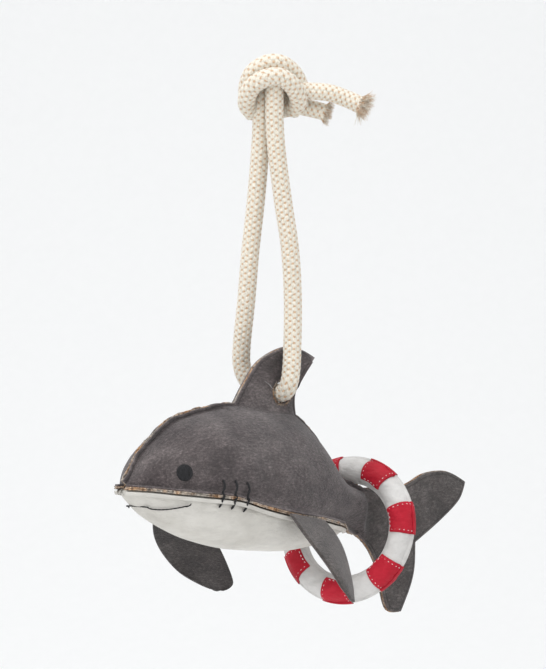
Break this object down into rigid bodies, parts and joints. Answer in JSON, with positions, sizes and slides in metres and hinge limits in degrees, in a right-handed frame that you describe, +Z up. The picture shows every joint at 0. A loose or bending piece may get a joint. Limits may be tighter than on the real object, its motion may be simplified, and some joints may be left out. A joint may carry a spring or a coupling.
{
  "type": "plush shark",
  "caption": "Stuffed suede toy shark with a leather belly, hanging by a knotted cotton rope through its back fin, a stuffed life ring round its tail.",
  "frame": {"origin": "crotch under the knot, where the two rope strands meet and the toy is hung", "axes": "+Z up, +X from the nose toward the tail, -Y toward the shark's left side"},
  "size_m": [0.3741, 0.1719, 0.4485],
  "materials": {
    "rope": "braided cream cotton with tan flecks",
    "suede": "napped grey suede",
    "jute": "coarse brown jute",
    "white_leather": "matt off-white leather",
    "stuffing": "loose fibre",
    "black_thread": "embroidery thread",
    "red_leather": "matt red leather"
  },
  "bodies": {
    "rope": {"rope_near_strand": "rope", "rope_far_strand": "rope", "rope_knot": "rope", "rope_front_end": "rope", "rope_back_end": "rope"},
    "shark": {"left_side_panel": "suede", "right_side_panel": "suede", "left_backing": "jute", "right_backing": "jute", "belly_panel": "white_leather", "belly_backing": "jute", "body_stuffing": "stuffing", "stem_stuffing": "stuffing", "left_eye": "black_thread", "right_eye": "black_thread", "left_gill_stitches": "black_thread", "right_gill_stitches": "black_thread", "mouth_stitch": "black_thread"},
    "tail": {"left_tail_panel": "suede", "right_tail_panel": "suede", "tail_backing": "jute"},
    "left_fin": {"left_fin": "suede"},
    "right_fin": {"right_fin": "suede"},
    "ring": {"ring_front_cover": "white_leather", "ring_back_cover": "white_leather", "ring_stuffing": "stuffing", "ring_front_patches": "red_leather", "ring_back_patches": "red_leather"}
  },
  "joints": [
    {"name": "body_pitch", "type": "hinge", "parent": "rope", "child": "shark", "pos_m": [0.012, 0, -0.22], "axis": [0, 1, 0], "range_deg": [-25, 25], "stiffness_Nm_per_rad": 0.15, "springref_deg": 22.57},
    {"name": "tail_flex", "type": "hinge", "parent": "shark", "child": "tail", "pos_m": [0.11, 0, -0.325], "axis": [0, 0, 1], "range_deg": [-25, 25], "stiffness_Nm_per_rad": 0.05},
    {"name": "left_fin_flap", "type": "hinge", "parent": "shark", "child": "left_fin", "pos_m": [0.001, -0.0455, -0.3175], "axis": [0.972, 0.1546, -0.1767], "range_deg": [-55, 20], "stiffness_Nm_per_rad": 0.04},
    {"name": "right_fin_flap", "type": "hinge", "parent": "shark", "child": "right_fin", "pos_m": [-0.046, 0.05025, -0.30825], "axis": [0.9818, -0.0112, -0.1897], "range_deg": [-20, 55], "stiffness_Nm_per_rad": 0.04},
    {"name": "ring_spin", "type": "hinge", "parent": "shark", "child": "ring", "pos_m": [0.08818, 0, -0.33346], "axis": [0.9288, 0.2946, -0.225], "continuous": true}
  ]
}
